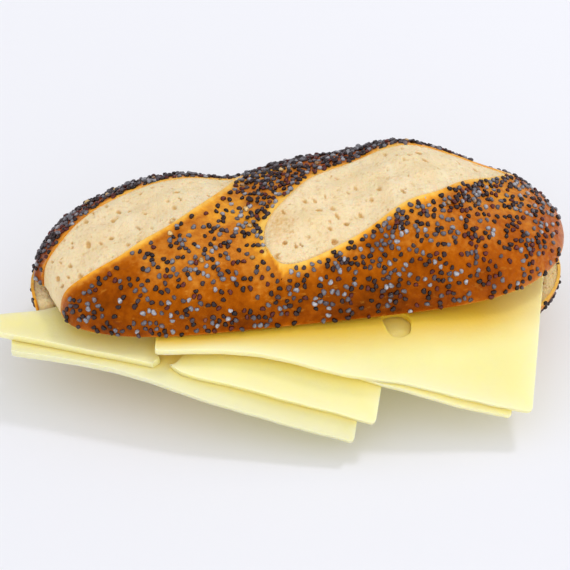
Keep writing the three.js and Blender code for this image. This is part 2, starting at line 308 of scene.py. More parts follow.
def make_crust_edge():
    """The thin cut or torn edge of the crust, golden and dull."""
    edge = Finish("crust edge", roughness=0.6, Specular_IOR_Level=0.2)
    here = edge.place()
    mottled = edge.mottle(here, 600, 4)
    colour = edge.mix(mottled, from_screen(226, 154, 44), from_screen(242, 194, 96))
    normal = edge.bumps(edge.mottle(here, 1500), 0.0002, 0.6)
    return edge.finish(Base_Color=colour, Normal=normal)


crust_finish = make_crust()
edge_finish = make_crust_edge()
print("made", crust_finish.name, "and", edge_finish.name)

# %% [markdown]
# ## The crumb's finish
#
# The crumb is cream coloured, dull and full of small pores. Light enters it and comes
# out close by, so it gets some subsurface scattering. Near the crust it takes on some
# of the golden colour. The pores are darkened with painted shade, and a patch at the
# right burst's left end, under the crust's lip, gets a painted shadow. The larger pores
# are modelled, and the finish adds the finest ones and a soft mottling. The cut faces,
# which were never baked open, are a little yellower than the bursts.

# %% Make the crumb


def make_crumb(name, low, high, pore):
    crumb = Finish(
        name,
        roughness=0.85,
        Subsurface_Weight=0.4,
        Subsurface_Radius=(1.0, 0.6, 0.3),
        Subsurface_Scale=0.0012,
        Specular_IOR_Level=0.15,
    )
    here = crumb.place()
    colour = crumb.mix(crumb.mottle(here, 120, 5), from_screen(*low), from_screen(*high))
    specks = crumb.rescale(crumb.mottle(here, 900), 0.66, 0.95)
    colour = crumb.mix(crumb.sum("MULTIPLY", specks, 0.3), colour, from_screen(*pore))
    # painted shade in the pores; on the bursts this value also holds a painted shadow patch
    pits = crumb.rescale(crumb.read("depth"), 0.02, 0.4, 0, 0.95)
    colour = crumb.mix(pits, colour, from_screen(*pore))
    gold = crumb.rescale(crumb.read("beside"), 0.0, 0.9, 0.6, 0.0)
    colour = crumb.mix(gold, colour, from_screen(232, 178, 84))
    pulled = crumb.mottle(crumb.place((1, 0.2, 0.6), (0, 0, 0.42)), 420, 4)
    colour = crumb.mix(crumb.sum("MULTIPLY", pulled, 0.22), colour, from_screen(*pore))
    foam = crumb.sum("ADD", crumb.mottle(here, 1300, 4), pulled)
    return crumb.finish(Base_Color=colour, Normal=crumb.bumps(foam, 0.0003, 0.6))


burst_finish = make_crumb("cream crumb", (238, 214, 168), (247, 226, 188), (212, 168, 104))
cut_finish = make_crumb("cut crumb", (238, 212, 156), (247, 226, 178), (208, 160, 88))
print("made", burst_finish.name, "and", cut_finish.name)

# %% [markdown]
# ## The seeds' finish
#
# Blue poppy seeds are slate grey to nearly black, some with a maroon tint, and now and
# then a pale one. Each seed carries one value, `tone`, and a ramp turns it into its
# colour. Another value, `top`, paints light on a seed's back and paints shade on its
# foot, where it meets the crust. Their skin is a fine net of ridges, which scatters the
# light.

# %% Make the seeds' finish


def make_seed_finish():
    seed = Finish("poppy seed", roughness=0.27, Specular_IOR_Level=0.36)
    here = seed.place()
    colour = seed.ramp(
        seed.read("tone"),
        (
            (0.0, (22, 4, 6)),
            (0.36, (44, 20, 20)),
            (0.48, (70, 58, 62)),
            (0.72, (108, 106, 112)),
            (0.84, (158, 156, 160)),
            (0.86, (66, 14, 10)),
            (0.988, (92, 30, 20)),
            (1.0, (214, 180, 120)),
        ),
    )
    speck = seed.mottle(here, 2200, 3, 0.55, 1.4)
    colour = seed.mix(1.0, colour, speck, "MULTIPLY")
    # painted light on the seed's back and painted shade at its foot
    painted_top_light = seed.rescale(seed.read("top"), -0.4, 0.9, 0.4, 1.3)
    colour = seed.mix(1.0, colour, painted_top_light, "MULTIPLY")
    normal = seed.bumps(seed.mottle(here, 2600, 2), 0.0001, 0.5)
    return seed.finish(Base_Color=colour, Normal=normal)


seed_finish = make_seed_finish()
print("made", seed_finish.name)

# %% [markdown]
# ## The cheese's finish
#
# Sliced cheese is pale yellow, smooth and a little waxy. Light goes deep into it, and
# through a thin slice, which makes it luminous and tints the table beneath. Where slices
# and bread crowd together, the light is thrown back and forth and turns golden. Strong
# subsurface scattering does the first. The second is painted into the colour: a value
# on the mesh paints golden shade and bounce light next to the lid, and an occlusion term
# paints golden shade into the steps between the slices. The value `rim` makes the thin
# edges paler, and `lowest` paints shade on the lowest slice, which lies in the others'
# shade, so that it is a little duller. The surface is only faintly uneven.

# %% Make the cheese


def make_cheese():
    cheese = Finish(
        "sliced cheese",
        Subsurface_Weight=0.75,
        Subsurface_Radius=(1.0, 0.92, 0.36),
        Subsurface_Scale=0.0022,
        Specular_IOR_Level=0.25,
    )
    here = cheese.place()
    mottled = cheese.mottle(here, 45)
    colour = cheese.mix(mottled, from_screen(237, 225, 150), from_screen(242, 232, 162))
    colour = cheese.mix(cheese.read("rim"), colour, from_screen(240, 232, 188))
    # painted shade: the lowest slice is duller
    colour = cheese.mix(cheese.read("lowest"), colour, (0.78, 0.84, 1.0), "MULTIPLY")
    # painted golden shade in the steps between slices, from an occlusion term
    hidden = cheese.add("ShaderNodeAmbientOcclusion", {"Distance": 0.005}, samples=12)
    painted_crease_shade = cheese.rescale(hidden.outputs["AO"], 0.86, 0.45, 0, 0.7)
    colour = cheese.mix(painted_crease_shade, colour, from_screen(250, 228, 112))
    # painted golden shade and bounce light next to the lid
    colour = cheese.mix(cheese.read("painted_lid_shade"), colour, from_screen(228, 186, 40))
    slicing = cheese.mottle(cheese.place((0.25, 1, 1), (0, 0, -0.38)), 160)
    normal = cheese.bumps(slicing, 0.0004, 0.15)
    normal = cheese.bumps(cheese.mottle(here, 1200), 0.00008, 0.25, normal)
    rough = cheese.mottle(here, 300, 3, 0.4, 0.54)
    return cheese.finish(Base_Color=colour, Roughness=rough, Normal=normal)


cheese_finish = make_cheese()
print("made", cheese_finish.name)

# %% [markdown]
# ## The roll's form
#
# Both halves follow simple curves, in millimetres from the roll's own middle: how far
# the rim stands to the front and back at each place along it, and how high the dome
# is. The back swells beside each burst and is drawn in between them. Each burst is a
# skewed arch with one wave in it, on both sides of a slanting line. The functions take
# whole arrays of points, so that thousands of vertices are placed at once.

# %% Define the roll's curves
MIDDLE = np.array((4.25, 10.036, 0.0))  # of the roll, in the solid model's frame
HALF = 62.5
ROLL_WIDTH = 51.2
BASE_HEIGHT = 15.0
BOWL_DEPTH = 16.4
LID_HEIGHT = 17.2
LID_Z = 23.3
LID_TILT = math.radians(1.2)
LIP_RISE, LIP_REACH = 0.45, 3.0
LID_POWER, BASE_POWER = 0.91, 0.92  # how full the two halves are, 1 for a round section
LID_INSET, BASE_INSET = 0.06, 0.05  # how far the crumb stays behind the cut
CRUMB_LENGTH = 0.99  # of the crumb's length to the crust's
BURSTS = (
    {
        "from": (-63.0, -14.0),
        "to": (-12.5, 14.0),
        "low": (9.0, 0.56, 0.78),
        "high": (11.8, 0.46, 1.05),
        "low_wave": (-0.7, 0.45, 0.08),
        "high_wave": (2.8, 0.12, 0.1),
    },
    {
        "from": (-9.1, -14.4),
        "to": (51.2, 10.0),
        "low": (8.1, 0.25, 0.5),
        "high": (14.3, 0.42, 0.69),
        "low_wave": (2.05, 0.61, 0.11),
        "high_wave": (-1.3, 0.17, 0.1),
    },
)


def bump(x, centre, spread):
    return np.exp(-(((x - centre) / spread) ** 2))


def smooth(x, a, b):
    t = np.clip((x - a) / (b - a), 0, 1)
    return t * t * (3 - 2 * t)


def taper(x, p, q):
    return (1 - np.minimum(1, np.abs(x / HALF)) ** p) ** (1 / q)


def station_x(s):
    return HALF * (0.6 * np.sin(np.pi / 2 * s) + 0.4 * s)


def half_width(x, front):
    """How far the rim stands from the middle line, to the front or to the back."""
    swell = 2.4 * bump(x, -37, 19) - 3.4 * bump(x, -14, 12.5) + 2.3 * bump(x, 21, 17)
    back = (ROLL_WIDTH / 2 + swell) * taper(x, 3, 2)
    return np.where(front, (ROLL_WIDTH / 2 + 0.3) * taper(x, 4.6, 2), back)


def lid_half_width(x, front):
    """The same for the lid, whose front is cut back at the left, where it tore."""
    width = half_width(x, front)
    torn = np.maximum(width - 6.6 * smooth(-x, 54, 60.6), 0.25 * width)
    return np.where(front, torn + 0.25 * bump(x, 20, 28), width)


def dome_height(x):
    humps = 0.5 * bump(x, -36, 15) - 2.2 * bump(x, -13.4, 7) + 4.4 * bump(x, 28, 12)
    humps -= 0.7 * bump(x, -41, 8) + 0.8 * bump(x, 15, 8)
    humps -= 0.8 * bump(x, 47, 5) + 3 * bump(x, 61, 6)
    return (LID_HEIGHT + humps) * taper(x, 2.6, 1.8)


def burst_side(burst, side, t):
    """How far a burst reaches to one side of its line: a skewed arch and one wave."""
    depth, peak, power = burst[side]
    height, middle, spread = burst[side + "_wave"]
    skewed = t ** (math.log(0.5) / math.log(peak))
    arch = depth * np.sin(np.pi * np.clip(skewed, 0, 1)) ** power
    return arch + height * bump(t, middle, spread)


def burst_place(burst, x, y):
    """How far inside a burst each point lies, and its share of the way across."""
    start = np.array(burst["from"])
    along = np.array(burst["to"]) - start
    length = np.hypot(*along)
    along /= length
    run = (x - start[0]) * along[0] + (y - start[1]) * along[1]
    across = (y - start[1]) * along[0] - (x - start[0]) * along[1]
    t = np.clip(run / length, 0, 1)
    low, high = burst_side(burst, "low", t), burst_side(burst, "high", t)
    inside = np.minimum(high - across, across + low)
    past = np.maximum(0, np.maximum(-run, run - length))
    inside = np.where(past > 0, np.minimum(inside, -past), inside)
    return inside, np.clip((across + low) / np.maximum(low + high, 1e-6), 0, 1)


def nearest_burst(x, y):
    first, second = (burst_place(burst, x, y) for burst in BURSTS)
    nearer = first[0] > second[0]
    return np.where(nearer, first[0], second[0]), np.where(nearer, first[1], second[1])


def slopes(height, x, y, step):
    """How steeply a function of x and y rises along x and along y."""
    along_x = (height(x + step, y) - height(x - step, y)) / (2 * step)
    along_y = (height(x, y + step) - height(x, y - step)) / (2 * step)
    return along_x, along_y


def burst_distance(x, y):
    """Distance to the nearest burst's border in mm, positive inside, and its slope."""
    gx, gy = slopes(lambda a, b: nearest_burst(a, b)[0], x, y, 0.05)
    size = np.maximum(np.hypot(gx, gy), 0.3)
    return nearest_burst(x, y)[0] / size, gx / size, gy / size


def beside_burst(x, y):
    """Distance outside the nearest burst in mm, 0 inside it."""
    inside = nearest_burst(x, y)[0]
    return np.clip(np.maximum(-burst_distance(x, y)[0], -inside / 2.5), 0, None)


def onto_border(x, y, moving):
    """Move the chosen points to the nearest burst's border."""
    for _ in range(5):
        distance, gx, gy = burst_distance(x, y)
        x = np.where(moving, x - distance * gx, x)
        y = np.where(moving, y - distance * gy, y)
    return x, y


def crust_height(x, y):
    width = lid_half_width(x, y < 0)
    rim = np.clip(np.abs(y) / np.maximum(width, 1e-6), 0, 1) ** (1 / LID_POWER)
    sine = np.sqrt(np.clip(1 - rim**2, 0, 1))
    inside, share = nearest_burst(x, y)
    lip = LIP_RISE * np.exp(-((inside / LIP_REACH) ** 2)) * (1 - 0.8 * smooth(share, 0.3, 0.7))
    return dome_height(x) * sine + lip * sine**0.5


def torn_tip(x, y, deep=0):
    """How far the base's left end stands up where it tore, less so deep in the bowl."""
    tip = 4.6 * smooth(-x, 53, 60) * smooth(y, -9, -4) * smooth(-y, -16, -6)
    return tip * np.exp(-deep / 6)


def across(width, x, turn, power):
    """How far across the roll a point lies that is turned so far round its side."""
    c = np.cos(turn)
    return -width(x, c > 0) * np.sign(c) * np.abs(c) ** power


def bowl_depth(x, sine):
    return BOWL_DEPTH * taper(x, 2.5, 1.5) * sine**0.92


def in_frame(x, y, z):
    """Points in mm from the roll's own middle, as metres in the solid model's frame."""
    return (np.stack([x, y, z], -1) + MIDDLE) * MM


def drawn_in(x):
    """How far the lid's left end is drawn in."""
    return 0.9 * smooth(-x, 52, 62)


def on_lid(x, y, z):
    """The same for points that are measured up from the lid's cut face."""
    x = x + drawn_in(x)
    c, s = math.cos(LID_TILT), math.sin(LID_TILT)
    return in_frame(x * c - z * s, y, LID_Z + x * s + z * c)


def off_frame(places):
    """The way back: from metres in the frame to mm from the roll's middle."""
    return (np.asarray(places) / MM - MIDDLE).T


def off_lid(places):
    x, y, z = off_frame(places)
    c, s = math.cos(LID_TILT), math.sin(LID_TILT)
    x, z = x * c + (z - LID_Z) * s, (z - LID_Z) * c - x * s
    before = x
    for _ in range(6):
        before = x - drawn_in(before)
    return before, y, z


print("the lid is", round(float(crust_height(24.0, 0.0)), 1), "mm high at its hump")

# %% [markdown]
# ## Shaping a grid
#
# Every skin of the roll starts as a plain grid and is bent into place. A grid has even,
# four-sided faces, which take relief and smooth shading well. Where a skin closes on
# itself or comes to a tip, its doubled points are merged and its normals turned out.

# %% Write the grid helpers


def set_mode(mode):
    bpy.ops.object.mode_set(mode=mode)


def only(piece):
    bpy.ops.object.select_all(action="DESELECT")
    piece.select_set(True)
    bpy.context.view_layer.objects.active = piece


def read_values(items, name, size=3):
    flat = np.empty(len(items) * size)
    items.foreach_get(name, flat)
    return flat.reshape(-1, size)


def read_points(piece):
    return read_values(piece.data.vertices, "co")


def write_points(piece, points):
    piece.data.vertices.foreach_set("co", points.ravel())
    piece.data.update()


def edit_all(piece):
    only(piece)
    set_mode("EDIT")
    bpy.ops.mesh.select_all(action="SELECT")


def close_seams(piece):
    edit_all(piece)
    bpy.ops.mesh.remove_doubles(threshold=2e-6)
    bpy.ops.mesh.normals_make_consistent(inside=False)
    set_mode("OBJECT")


def bent_grid(name, columns, rows, form):
    """A grid whose u and v, from -1 to 1, the form turns into places in the frame."""
    bpy.ops.object.select_all(action="DESELECT")
    bpy.ops.mesh.primitive_grid_add(x_subdivisions=columns, y_subdivisions=rows, size=2)
    piece = bpy.context.object
    piece.name = piece.data.name = name
    u, v, _ = read_points(piece).T
    write_points(piece, form(u, v))
    return piece


def delete_faces(piece, chosen):
    only(piece)
    set_mode("EDIT")
    bpy.ops.mesh.select_mode(type="FACE")
    bpy.ops.mesh.select_all(action="DESELECT")
    set_mode("OBJECT")
    piece.data.polygons.foreach_set("select", chosen)
    set_mode("EDIT")
    bpy.ops.mesh.delete(type="FACE")
    set_mode("OBJECT")


def face_centres(piece):
    return read_values(piece.data.polygons, "center")


def open_edge(piece):
    """True for each point on the open edge of a skin."""
    mesh = bmesh.new()
    mesh.from_mesh(piece.data)
    found = np.array([point.is_boundary for point in mesh.verts])
    mesh.free()
    return found


def turn_up(piece):
    """Make an open skin's normals point up rather than down."""
    if read_values(piece.data.vertices, "normal")[:, 2].mean() < 0:
        edit_all(piece)
        bpy.ops.mesh.flip_normals()
        set_mode("OBJECT")


def apply_modifier(piece, kind, **settings):
    only(piece)
    modifier = piece.modifiers.new(kind.lower(), kind)
    for setting, value in settings.items():
        setattr(modifier, setting, value)
    bpy.ops.object.modifier_apply(modifier=modifier.name)


def thicken(piece, thickness, thin=None, factor=0.4):
    """Give a skin its thickness inwards, less where thin is near 1."""
    group = piece.vertex_groups.new(name="thick")
    weights = np.ones(len(piece.data.vertices)) if thin is None else 1 - thin
    for index, weight in enumerate(weights.tolist()):
        group.add((index,), weight, "REPLACE")
    apply_modifier(
        piece,
        "SOLIDIFY",
        thickness=thickness * MM,
        offset=-1,
        vertex_group="thick",
        thickness_vertex_group=factor,
        material_offset_rim=1,
    )
    piece.vertex_groups.clear()


def clumps(x, y, z, scale, layer):
    """Slow noise at each point, about -0.5 to 0.5."""
    places = zip((x * scale).tolist(), (y * scale).tolist(), (z * scale).tolist())
    return np.array([noise.noise(Vector(place) + Vector((0, 0, layer))) for place in places])


def store(piece, name, values):
    attribute = piece.data.attributes.new(name, "FLOAT", "POINT")
    attribute.data.foreach_set("value", np.asarray(values, dtype=np.float32))


def complete(piece, slot, *finishes):
    """Shade a piece smooth, give it its finishes and tie it to the roll."""
    piece.data.materials.clear()
    for finish in finishes:
        piece.data.materials.append(finish)
    only(piece)
    bpy.ops.object.shade_smooth_by_angle(angle=math.radians(50))
    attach(piece, "root")
    triangles = sum(len(face.vertices) - 2 for face in piece.data.polygons)
    print(f"{piece.name}: {triangles} triangles")


print("helpers ready")

# %% [markdown]
# ## The lid's crust
#
# The crust is a thin skin with two holes where the crumb burst out. The holes could be
# cut with a boolean, but its ragged triangles would spoil the smooth, glossy skin. So
# the grid's points next to a border are moved onto it first, the faces inside are
# deleted, and the points on the open edge are moved onto the border once more. Solidify
# then gives the skin its thickness, which tapers to a thin torn edge.

# %% Shape the lid's crust


def lid_crust_form(u, v):
    x = station_x(u)
    y = across(lid_half_width, x, np.pi * (v + 1) / 2, LID_POWER)
    x, y = onto_border(x, y, np.abs(burst_distance(x, y)[0]) < 0.25)
    return on_lid(x, y, crust_height(x, y) * (np.abs(v) < 0.9999))


def browning_shade_sheen_at(x, y, height, beside, low):
    """From 0, golden, to 1, dark. Darker low on the flanks, partly browning and partly
    painted shade; paler on top of the neck, partly golden crust and partly painted sheen;
    paler at the right end, which is painted sheen.
    """
    # painted shade together with browning: darker low on the flanks, less so at the right end
    flank = 0.3 * smooth(-height, -14, -2) * (1 - 0.5 * smooth(x, 36, 54))
    # painted sheen together with golden crust: paler on top of the neck
    tone = 0.5 + flank - 0.22 * bump(x, -10, 12) * smooth(height, 5, 14)
    # the last term is a painted sheen that makes the right end paler
    tone += 0.11 * bump(x, 13, 11) * smooth(beside, 1, 4) - 0.14 * smooth(x, 33, 50)
    torn = (0.85 + 0.15 * low) * np.exp(-((beside / 1.3) ** 2))
    return np.clip(tone - 0.45 * torn - 0.3 * np.exp(-height / 0.35), 0, 1)


def store_crust_values(piece, x, y, height, beside, low):
    store(piece, "beside", beside)
    store(piece, "browning_shade_sheen", browning_shade_sheen_at(x, y, height, beside, low))
    store(piece, "ruddy", 0.14 * smooth(x, 10, 50) * smooth(beside, 0.5, 4))


lid_crust = bent_grid("roll_lid_crust", 270, 150, lid_crust_form)
centre_x, centre_y, _ = off_lid(face_centres(lid_crust))
delete_faces(lid_crust, nearest_burst(centre_x, centre_y)[0] > 0)
close_seams(lid_crust)
lid_x, lid_y, lid_z = off_lid(read_points(lid_crust))
hole_edge = open_edge(lid_crust) & (lid_z > 0.02)
lid_x, lid_y = onto_border(lid_x, lid_y, hole_edge)
on_hole = on_lid(lid_x, lid_y, crust_height(lid_x, lid_y))
write_points(lid_crust, np.where(hole_edge[:, None], on_hole, read_points(lid_crust)))
beside = beside_burst(lid_x, lid_y)
thicken(lid_crust, 1.1, thin=np.exp(-beside / 1.5), factor=0.3)
lid_x, lid_y, lid_z = off_lid(read_points(lid_crust))
beside = beside_burst(lid_x, lid_y)
low_side = 1 - smooth(nearest_burst(lid_x, lid_y)[1], 0.35, 0.65)
store_crust_values(lid_crust, lid_x, lid_y, lid_z, beside, low_side)
complete(lid_crust, "crust", crust_finish, edge_finish)
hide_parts("roll_lid")

# %% [markdown]
# ## The crumb in the bursts
#
# Where the crust tore, the dough swelled out and dried to a porous cream skin. Each
# burst is a finer part of the same grid, a little lower than the crust, and reaches a
# little way under it on every side. The skin is pushed in and out along its normals:
# slow waves, small lumps, and pits. A pit is a round dent at some of the points of a
# random scatter, stretched along the pull of the dough.

# %% Shape the crumb relief


def wobble(place):
    """A small shift for a place. Blender's own noise_vector differs in every run."""
    return Vector([noise.noise(place + Vector((0, 0, layer))) for layer in (11, 23, 37)])


def pit(x, y, cell, size, chance, layer):
    """How deep a pit is at a place, from 0 to 1."""
    place = Vector((x / cell[0], y / cell[1], layer))
    place += 0.16 * wobble(place * 2.3)
    distances, points = noise.voronoi(place)
    if noise.cell(points[0] * 37.1) > chance:
        return 0.0
    size *= 0.6 + 0.5 * noise.cell(points[0] * 91.7)
    return max(0.0, 1 - (distances[0] / size) ** 2) ** 0.7


def crumb_relief(x, y, coarse=1.0):
    """Height of the crumb's relief in mm at each point, and how much of it is a pit."""
    relief, pits = np.empty(len(x)), np.empty(len(x))
    for i, (a, b) in enumerate(zip(x.tolist(), y.tolist())):
        wave = 0.4 * noise.noise(Vector((a * 0.12, b * 0.15, 3)))
        lump = 0.16 * noise.noise(Vector((a * 0.45, b * 0.35, 7)))
        grain = 0.05 * noise.noise(Vector((a * 1.9, b * 1.3, 1)))
        crowd = 0.4 + 0.9 * noise.noise(Vector((a * 0.11, b * 0.11, 20)))
        crowd += 0.4 * math.exp(-(((a + 3) / 6) ** 2))
        p, q = a + 0.35 * b, b - 0.2 * a
        small = 0.22 * pit(p, q, (0.9, 1.3), 0.38, crowd + 0.15, 0)
        medium = 0.55 * pit(p, q, (1.8, 3.1), 0.32, crowd + 0.3, 5)
        large = 0.8 * pit(p, q, (5.5, 4.2), 0.2, 0.4, 9)
        hollow = coarse * (small + medium + large)
        relief[i] = wave + lump + coarse * grain - hollow
        pits[i] = hollow
    return relief, pits


def make_burst_crumb(name, reach, turns, columns, rows):
    def form(u, v):
        x = station_x(reach[0] + (reach[1] - reach[0]) * (u + 1) / 2)
        turn = np.pi * (turns[0] + (turns[1] - turns[0]) * (v + 1) / 2)
        y = across(lid_half_width, x, turn, LID_POWER)
        inside, share = nearest_burst(x, y)
        border = 0.5 - 0.4 * share + 0.5 * smooth(-inside, 0, 0.6)
        waves = 0.22 * np.sin(x * 0.55 + y * 0.3) + 0.18 * np.sin(y * 0.8 - x * 0.25)
        drop = border + (waves + 0.17) * smooth(inside, 0, 6)
        height = np.maximum(crust_height(x, y) - drop, 0.04)
        return on_lid(x * 0.994, y * (1 - np.clip(drop, 0.2, 2) / 27), height)

    piece = bent_grid(name, columns, rows, form)
    centre_x, centre_y, _ = off_lid(face_centres(piece))
    delete_faces(piece, nearest_burst(centre_x, centre_y)[0] < -1.5)
    close_seams(piece)
    turn_up(piece)
    x, y, z = off_lid(read_points(piece))
    relief, pits = crumb_relief(x, y)
    fade = smooth(burst_distance(x, y)[0], -0.2, 1.3) * smooth(z, 0, 1)
    normals = read_values(piece.data.vertices, "normal")
    write_points(piece, read_points(piece) + normals * (relief * fade * MM)[:, None])
    # painted shadow under the crust's lip at the right burst's left end, stored with the pits'
    # painted shade
    painted_lip_shadow = 0.36 * bump(x, -6, 4.5) * bump(y, -8, 5) * (0.7 + 0.9 * clumps(x, y, z, 2, 2))
    store(piece, "depth", (pits + painted_lip_shadow) * fade)
    store(piece, "beside", np.maximum(0, burst_distance(x, y)[0]))
    apply_modifier(piece, "SOLIDIFY", thickness=0.8 * MM, offset=-1)
    complete(piece, "crust", burst_finish)


make_burst_crumb("roll_lid_burst_left", (-0.997, -0.1), (0.0, 0.78), 190, 200)
make_burst_crumb("roll_lid_burst_right", (-0.14, 0.86), (0.24, 0.76), 220, 150)

# %% [markdown]
# ## The cut faces
#
# The knife left a flat face of open crumb on both halves. Each half gets a closed body
# of crumb inside its crust: one grid runs over the dome or under the bowl and back
# along the cut face, and is merged where it meets itself. Only the cut face is given
# pores, pressed into it so that nothing stands out past the cut.

# %% Shape the crumb inside both halves


def body_form(width, top, fold, inset, depth_below):
    """A closed half body whose flat cut face is at the height top."""

    def form(u, v):
        x = station_x(u * 0.992)
        curved = v < fold
        over = np.pi * np.clip((v + 1) / (fold + 1), 0, 1)
        c = np.where(curved, np.cos(over), -1 + 2 * np.clip((v - fold) / (1 - fold), 0, 1))
        y = -width(x, c > 0) * inset * np.sign(c) * np.abs(c) ** np.where(curved, 0.915, 1)
        bulge = depth_below(x, y / inset, np.sin(over))
        return x * CRUMB_LENGTH, y, np.where(curved, bulge, top(x, y))

    return form


def lid_cut(x, y):
    return np.full(len(x), LID_INSET)


def base_cut(x, y):
    return BASE_HEIGHT - BASE_INSET + torn_tip(x, y)


def lid_body_depth(x, y, sine):
    return np.maximum(crust_height(x, y) - 2.3, 0.1) * (sine > 1e-3)


def base_body_depth(x, y, sine):
    deep = bowl_depth(x, sine)
    level = BASE_HEIGHT - BASE_INSET - 0.86 * deep + torn_tip(x, y, deep)
    return np.maximum(level, 1.5)


def press_pores(piece, x, y, on_cut, outward):
    """Push pits into the points of a piece that lie on its cut face."""
    relief, pits = crumb_relief(x * 1.15, y * 1.15, 1.5)
    depth = np.where(on_cut, np.maximum(0, 0.28 - relief), 0)
    points = read_points(piece)
    points[:, 2] -= outward * depth * MM
    write_points(piece, points)
    # the pits' depth, which the finish turns into painted shade
    store(piece, "depth", np.where(on_cut, pits, 0))
    store(piece, "beside", np.full(len(x), 9.0))
    complete(piece, "crust", cut_finish)


lid_form = body_form(lid_half_width, lid_cut, -0.1, 0.955, lid_body_depth)
lid_body = bent_grid("roll_lid_crumb", 170, 150, lambda u, v: on_lid(*lid_form(u, v)))
close_seams(lid_body)
lid_x, lid_y, lid_z = off_lid(read_points(lid_body))
press_pores(lid_body, lid_x, lid_y, np.abs(lid_z - LID_INSET) < 0.02, -1)

base_form = body_form(half_width, base_cut, -0.45, 0.972, base_body_depth)
base_body = bent_grid("roll_base_crumb", 270, 170, lambda u, v: in_frame(*base_form(u, v)))
close_seams(base_body)
base_x, base_y, base_z = off_frame(read_points(base_body))
off_cut = base_z - base_cut(base_x / CRUMB_LENGTH, base_y)
press_pores(base_body, base_x, base_y, np.abs(off_cut) < 0.02, 1)

# %% [markdown]
# ## The base's crust
#
# The lower half is a shallow bowl that stands on a small flat spot. It is made like the
# lid's crust, without holes: a bent grid with its lowest part pressed flat, then made
# thick inwards. Its edge on the cut face is the thin golden ring round the crumb.

# %% Shape the base's crust


def base_crust_form(u, v):
    x = station_x(u)
    turn = np.pi * (v + 1) / 2
    y = across(half_width, x, turn, BASE_POWER)
    deep = bowl_depth(x, np.sin(turn) * (np.abs(v) < 0.9999))
    return in_frame(x, y, np.maximum(BASE_HEIGHT - deep + torn_tip(x, y, deep), 0.0))


base_crust = bent_grid("roll_base_crust", 190, 100, base_crust_form)
close_seams(base_crust)
thicken(base_crust, 0.7)
base_x, base_y, base_z = off_frame(read_points(base_crust))
below_cut = np.maximum(0, BASE_HEIGHT + torn_tip(base_x, base_y) - base_z)
below_cut *= 3 + 12 * smooth(np.abs(base_x), 50, 56)
store_crust_values(base_crust, base_x, base_y, base_z, below_cut, 1)
complete(base_crust, "crust", crust_finish, edge_finish)
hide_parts("roll_base")

# %% [markdown]
# ## The cheese
#
# Four slices lie on the base and hang out over its front rim. Each is a bent grid that
# runs between a front and a back edge, which are curves through a few points. Past the
# rim it bends down and then slopes straight. The slices lie parallel, so on the slope
# they are further apart straight up. The upper pair settles to the right of the lower
# pair's end. An eye is made as in the crust: points near its outline are moved onto it
# and the faces inside are deleted. One eye is whole. The other one was cut through by
# the front edge, so its outline runs out of the slice.

# %% Define the cheese's curves
SLICE, PITCH = 1.66, 1.8
LOWEST = 16.05  # the height of the lowest slice's middle surface
BEND_Y, BEND_RADIUS, BEND_SLOPE = -24.5, 10.0, 0.7
SINK = 3.4
LOWER_END = {"x": 12, "lean": 0.43, "y": -45, "run": 32}
SLICES = (
    {
        "node": "cheese_slice_1",
        "layer": 0,
        "front": ((-68, -18.4), (-48.6, -26), (-27, -36), (5.5, -47.4)),
        "back": ((-67.6, -12.8), (-54, -4), (-41, 17), (-14, 19.5), (27, 16)),
    },
    {
        "node": "cheese_slice_2",
        "layer": 1,
        "front": (
            *((-71, -13.6), (-48.3, -23.8), (-37.2, -28.4), (-33.1, -29.2)),
            *((-30.6, -31.2), (-14, -37.2), (10.6, -45.6)),
        ),
        "back": ((-70.6, -7.9), (-55, -5.6), (-42, 19), (-12, 20.5), (33, 19)),
        "eye": (
            *((-35.9, -25.0), (-35.2, -27.1), (-36.9, -28.5), (-38.5, -31.5)),
            *((-33.4, -31.5), (-33.2, -29.2), (-32.0, -28.9), (-30.8, -27.8)),
            *((-29.3, -26.2), (-30.0, -23.5), (-33.4, -22.6)),
        ),
    },
    {
        "node": "cheese_slice_3",
        "layer": 2,
        "settles": True,
        "front": ((-30, -23), (-8, -30), (16, -40.4), (41.5, -46)),
        "back": ((-22, 18), (0, 20.5), (28, 22.5), (51, 14)),
    },
    {
        "node": "cheese_slice_4",
        "layer": 3,
        "settles": True,
        "front": ((-36.4, -28.4), (-16.5, -31), (4, -37.6), (45.9, -46.7)),
        "back": ((-27, 20), (-6, 21), (30, 23.5), (48, 17.5), (60, 2.5)),
        "eye": (
            *((15.3, -25.0), (15.7, -27.4), (16.1, -29.3), (17.0, -30.5)),
            *((18.3, -30.9), (19.8, -30.6), (21.0, -29.8), (21.5, -28.2)),
            *((21.6, -26.2), (20.5, -24.2), (18.3, -23.5), (16.2, -23.9)),
        ),
    },
)


def slice_level(piece, x, y):
    """The height of a slice's middle surface."""
    past = np.maximum(0, BEND_Y - y)
    reach = np.hypot(past, BEND_RADIUS)
    hang = BEND_SLOPE * (reach - BEND_RADIUS)
    apart = np.hypot(1, BEND_SLOPE * past / reach)
    end = LOWER_END["x"] + (y - LOWER_END["y"]) * LOWER_END["lean"]
    settled = SINK * smooth(x, end, end + LOWER_END["run"]) if piece.get("settles") else 0
    return LOWEST - hang + piece["layer"] * PITCH * apart - settled


